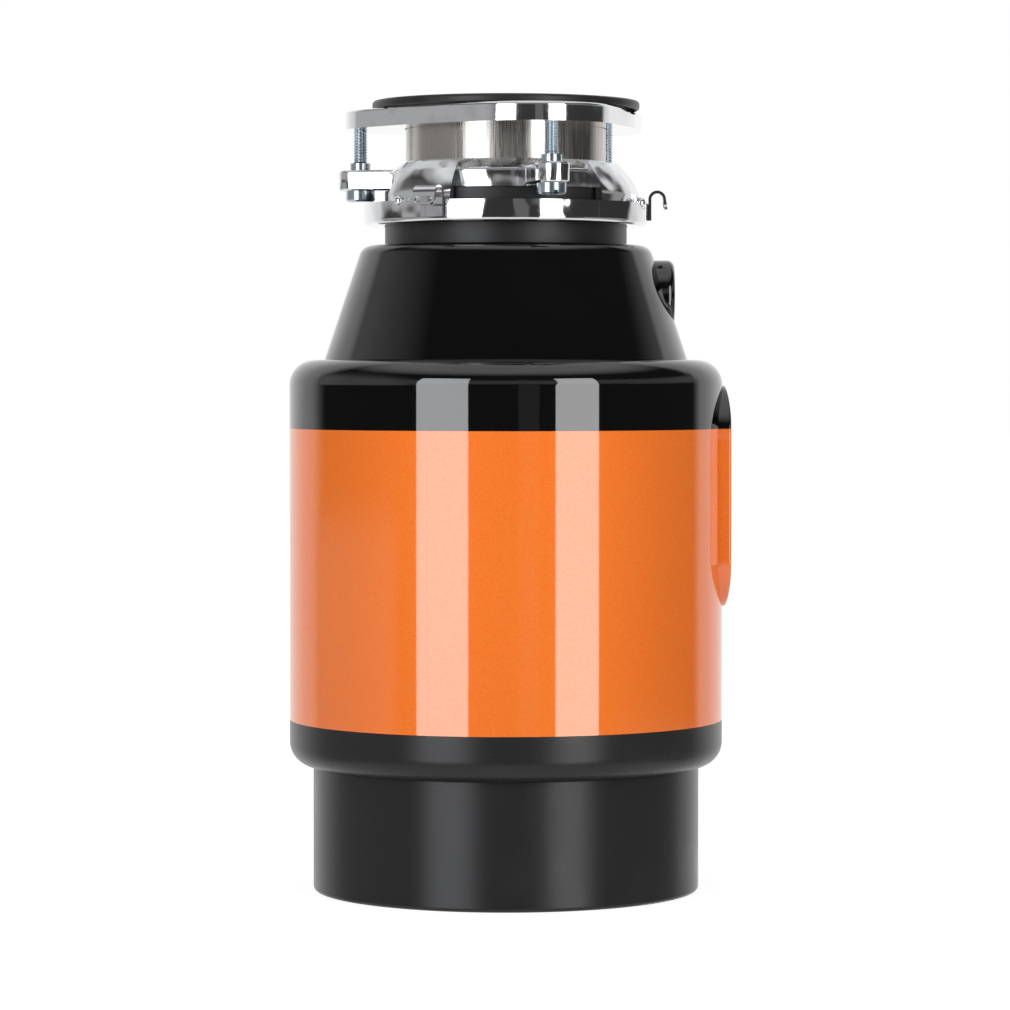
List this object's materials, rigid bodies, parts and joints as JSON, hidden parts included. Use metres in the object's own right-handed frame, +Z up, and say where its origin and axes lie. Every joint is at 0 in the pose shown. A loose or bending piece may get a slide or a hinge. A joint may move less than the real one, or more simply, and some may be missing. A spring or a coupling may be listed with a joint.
{
  "type": "kitchen garbage disposal",
  "caption": "Upright under-sink food waste disposer: round motor body with metallic sleeve, conical grind chamber, screw-clamped sink mount with turning lock ring, side outlet and inlet.",
  "frame": {"origin": "centre of the flat underside", "axes": "+Z up along the motor shaft, +X out of the discharge outlet, -Y towards the front of the picture"},
  "size_m": [0.1928, 0.19, 0.3458],
  "materials": {
    "chrome": "bright plated",
    "zinc_steel": "bluish zinc plate",
    "stainless": "fine brushed",
    "black_rubber": "matte",
    "gloss_black": "high gloss",
    "orange_metallic": "metallic flake under clear lacquer",
    "satin_black": "satin",
    "foam": "open cell",
    "black_plastic": "fine grain",
    "cast_aluminium": "as cast",
    "bronze": "sintered",
    "machined_steel": "turned",
    "laminated_steel": "stacked laminations",
    "copper": "enamelled wire",
    "capacitor_shell": "smooth",
    "pale_plastic": "moulded",
    "red_plastic": "smooth"
  },
  "bodies": {
    "housing": {"backup_flange": "chrome", "mounting_ring": "chrome", "clamp_screws": "zinc_steel", "screw_collars": "zinc_steel", "snap_ring": "zinc_steel", "base_screws": "zinc_steel", "through_bolts": "zinc_steel", "hatch_screws": "zinc_steel", "sink_flange": "stainless", "grind_chamber": "stainless", "hopper_cone": "stainless", "hopper_neck": "stainless", "grind_ring": "stainless", "sink_gasket": "black_rubber", "mounting_collar": "black_rubber", "splash_guard": "black_rubber", "outlet_gasket": "black_rubber", "shaft_seal": "black_rubber", "cable_bush": "black_rubber", "top_cover": "gloss_black", "cover_band": "gloss_black", "body_sleeve": "orange_metallic", "bottom_tray": "satin_black", "base_cover": "satin_black", "base_plate": "satin_black", "chamber_foam": "foam", "motor_foam": "foam", "inlet_nipple": "black_plastic", "inlet_plug": "black_plastic", "wiring_hatch": "black_plastic", "drain_chamber": "cast_aluminium", "outlet_stub": "cast_aluminium", "upper_end_frame": "cast_aluminium", "lower_end_frame": "cast_aluminium", "upper_bearing": "bronze", "lower_bearing": "bronze", "motor_can": "machined_steel", "capacitor_clamp": "machined_steel", "stator_core": "laminated_steel", "upper_winding": "copper", "lower_winding": "copper", "start_capacitor": "capacitor_shell", "overload_protector": "pale_plastic", "terminal_block": "pale_plastic"},
    "rotor": {"rotor_shaft": "machined_steel", "rotor_core": "laminated_steel", "thrust_spacer": "machined_steel", "turntable": "stainless", "lug_pins": "zinc_steel", "table_nut": "zinc_steel", "jam_socket": "machined_steel"},
    "lug_a": {"swivel_lug_a": "stainless"},
    "lug_b": {"swivel_lug_b": "stainless"},
    "lock": {"lock_ring": "chrome", "lock_ears": "chrome"},
    "button": {"reset_button": "red_plastic"}
  },
  "joints": [
    {"name": "motor_spin", "type": "hinge", "parent": "housing", "child": "rotor", "pos_m": [0, 0, 0.1], "axis": [0, 0, 1], "continuous": true},
    {"name": "lug_a_swivel", "type": "hinge", "parent": "rotor", "child": "lug_a", "pos_m": [0.03041, 0.03041, 0.2064], "axis": [0, 0, 1], "continuous": true},
    {"name": "lug_b_swivel", "type": "hinge", "parent": "rotor", "child": "lug_b", "pos_m": [-0.03041, -0.03041, 0.2064], "axis": [0, 0, 1], "continuous": true},
    {"name": "lock_turn", "type": "hinge", "parent": "housing", "child": "lock", "pos_m": [0, 0, 0.296], "axis": [0, 0, 1], "range_deg": [-38, 0]},
    {"name": "reset_press", "type": "slide", "parent": "housing", "child": "button", "axis": [0, 0, 1], "range_m": [0, 0.003], "stiffness_N_per_m": 250}
  ]
}
